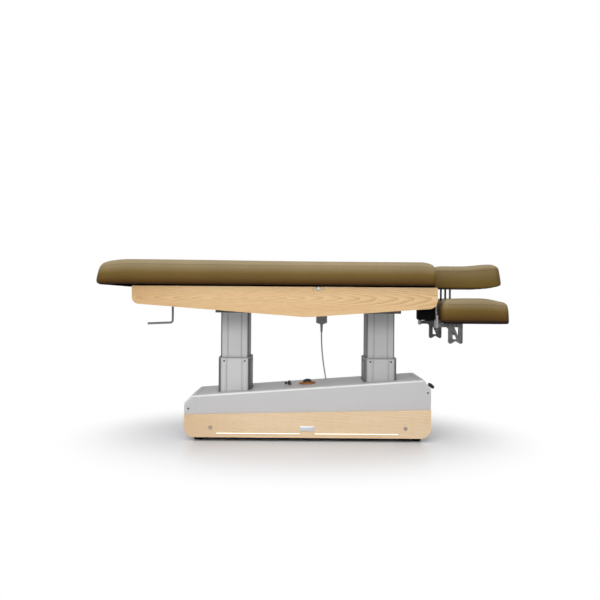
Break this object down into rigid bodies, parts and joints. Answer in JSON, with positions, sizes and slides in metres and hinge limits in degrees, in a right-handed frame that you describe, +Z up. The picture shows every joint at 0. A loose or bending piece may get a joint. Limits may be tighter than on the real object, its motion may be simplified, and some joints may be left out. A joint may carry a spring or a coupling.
{
  "type": "electric massage table",
  "caption": "Electric massage table with telescopic lifting columns, wooden rails, lifting back, face cushion, drop arm pads and a skirted base with warm light strips.",
  "frame": {"origin": "on the floor, under the middle of the table's bounding box", "axes": "+X towards the head end, -Y the near side of the picture, +Z up"},
  "size_m": [2.264, 0.78, 1.013],
  "materials": {
    "upholstery": "satin",
    "oak": "satin",
    "plywood": "matte",
    "cover_paint": "satin",
    "column_alloy": "satin",
    "bracket_alloy": "satin",
    "dark_steel": "satin",
    "plated_steel": "satin",
    "black_plastic": "matte",
    "grey_plastic": "matte",
    "rubber": "matte",
    "cord_grey": "matte",
    "copper": "satin",
    "warm_light": "gloss"
  },
  "bodies": {
    "base": {"base_chassis": "dark_steel", "base_cover": "cover_paint", "end_cover_foot": "cover_paint", "end_cover_head": "cover_paint", "skirt_near": "oak", "skirt_far": "oak", "light_strip_near": "warm_light", "light_strip_far": "warm_light", "foot_foot_near": "rubber", "foot_foot_far": "rubber", "foot_head_near": "rubber", "foot_head_far": "rubber", "column_outer_foot": "column_alloy", "column_outer_head": "column_alloy", "column_drive_foot": "dark_steel", "column_drive_head": "dark_steel", "control_box": "black_plastic", "base_gland": "rubber", "foot_disc": "copper", "cable": "cord_grey"},
    "middle_foot": {"column_middle_foot": "column_alloy", "column_collar_foot": "grey_plastic"},
    "middle_head": {"column_middle_head": "column_alloy", "column_collar_head": "grey_plastic"},
    "top": {"column_inner_foot": "column_alloy", "column_inner_head": "column_alloy", "column_bracket_foot": "dark_steel", "column_bracket_head": "dark_steel", "rail_near": "oak", "rail_far": "oak", "leg_platform": "plywood", "mattress_leg": "upholstery", "mattress_fold": "upholstery", "pivot_bolt_near": "plated_steel", "pivot_bolt_far": "plated_steel", "actuator_body": "grey_plastic", "junction_box": "grey_plastic", "release_fork": "dark_steel"},
    "back": {"back_platform": "plywood", "mattress_back": "upholstery", "hinge_plate_near": "plated_steel", "hinge_plate_far": "plated_steel", "back_lever": "plated_steel", "head_carrier": "dark_steel", "head_mount": "bracket_alloy", "arm_bracket_near": "bracket_alloy", "arm_bracket_far": "bracket_alloy"},
    "actuator": {"actuator_rod": "plated_steel"},
    "head_rest": {"head_cushion": "upholstery", "head_support": "bracket_alloy"},
    "arm_near": {"arm_cushion_near": "upholstery", "arm_board_near": "bracket_alloy"},
    "arm_far": {"arm_cushion_far": "upholstery", "arm_board_far": "bracket_alloy"},
    "knob_near": {"arm_knob_near": "black_plastic"},
    "knob_far": {"arm_knob_far": "black_plastic"},
    "release": {"release_lever": "plated_steel"},
    "button": {"foot_button": "black_plastic"},
    "toe": {"toe_lever": "black_plastic"},
    "end": {"end_lever": "black_plastic"}
  },
  "joints": [
    {"name": "table_lift", "type": "slide", "parent": "base", "child": "top", "axis": [0, 0, 1], "range_m": [-0.3, 0.03], "deforming": ["cable"]},
    {"name": "middle_foot_slide", "type": "slide", "parent": "base", "child": "middle_foot", "axis": [0, 0, 1], "range_m": [-0.15, 0.015]},
    {"name": "middle_head_slide", "type": "slide", "parent": "base", "child": "middle_head", "axis": [0, 0, 1], "range_m": [-0.15, 0.015]},
    {"name": "back_tilt", "type": "hinge", "parent": "top", "child": "back", "pos_m": [0.0795, 0, 0.855], "axis": [0, -1, 0], "range_deg": [0, 55], "deforming": ["mattress_fold"]},
    {"name": "actuator_slide", "type": "slide", "parent": "top", "child": "actuator", "axis": [1, 0, 0], "range_m": [0, 0.1146]},
    {"name": "head_rest_lift", "type": "slide", "parent": "back", "child": "head_rest", "axis": [0, 0, 1], "range_m": [-0.05, 0.05]},
    {"name": "arm_near_lift", "type": "slide", "parent": "back", "child": "arm_near", "axis": [0, 0, 1], "range_m": [0, 0.06]},
    {"name": "arm_far_lift", "type": "slide", "parent": "back", "child": "arm_far", "axis": [0, 0, 1], "range_m": [0, 0.06]},
    {"name": "knob_near_turn", "type": "hinge", "parent": "back", "child": "knob_near", "pos_m": [0.833, -0.304, 0.6159], "axis": [0, 1, 0], "range_deg": [0, 180]},
    {"name": "knob_far_turn", "type": "hinge", "parent": "back", "child": "knob_far", "pos_m": [0.833, 0.304, 0.6159], "axis": [0, -1, 0], "range_deg": [0, 180]},
    {"name": "release_swing", "type": "hinge", "parent": "top", "child": "release", "pos_m": [-0.7285, -0.25, 0.8137], "axis": [0, 1, 0], "range_deg": [0, 12], "stiffness_Nm_per_rad": 2},
    {"name": "button_press", "type": "slide", "parent": "base", "child": "button", "axis": [0.0735, 0, -0.9973], "range_m": [0, 0.004], "stiffness_N_per_m": 800, "springref_m": -0.001},
    {"name": "toe_lever_swing", "type": "hinge", "parent": "base", "child": "toe", "pos_m": [-0.078, 0, 0.29329], "axis": [-0.0735, 0, 0.9973], "range_deg": [-15, 15], "stiffness_Nm_per_rad": 0.5},
    {"name": "end_lever_turn", "type": "hinge", "parent": "base", "child": "end", "pos_m": [0.7178, -0.1, 0.287], "axis": [1, 0, 0], "range_deg": [-30, 30], "stiffness_Nm_per_rad": 0.5}
  ],
  "couplings": [
    {"joint": "middle_foot_slide", "follows": "table_lift", "ratio": 0.5},
    {"joint": "middle_head_slide", "follows": "table_lift", "ratio": 0.5},
    {"joint": "actuator_slide", "follows": "back_tilt", "m_per_rad": 0.11931}
  ]
}
